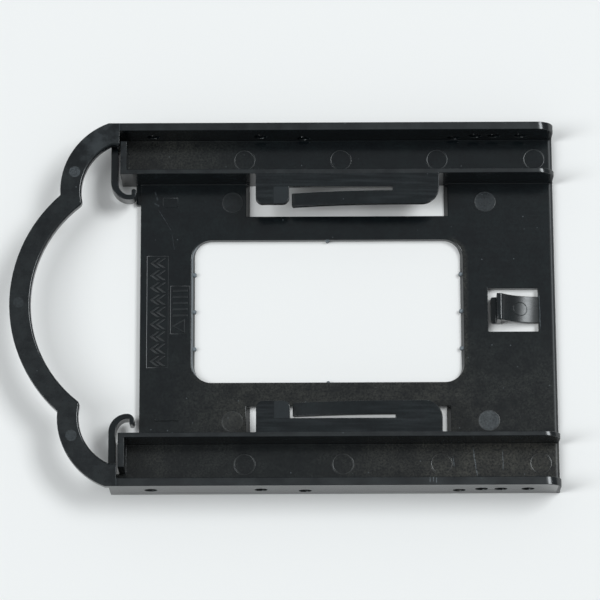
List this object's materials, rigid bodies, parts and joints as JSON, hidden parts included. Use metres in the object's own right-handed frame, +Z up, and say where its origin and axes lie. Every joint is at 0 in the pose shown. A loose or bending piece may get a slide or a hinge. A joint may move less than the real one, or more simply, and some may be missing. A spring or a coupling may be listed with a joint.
{
  "type": "drive bay adapter bracket",
  "caption": "Flat moulded bracket with U-channel side rails, hold-down spring fingers and a curved pull handle, which carries a 2.5-inch drive in a 3.5-inch drive bay.",
  "frame": {"origin": "middle of the bounding box, on the underside", "axes": "+X along the rails from the pull handle to the spring clip, +Y across the rails, +Z up out of the tray"},
  "size_m": [0.1492, 0.1016, 0.0127],
  "materials": {
    "black_plastic": "black ABS, moulded, finely textured satin"
  },
  "bodies": {
    "root": {"bracket": "black_plastic"}
  },
  "joints": []
}
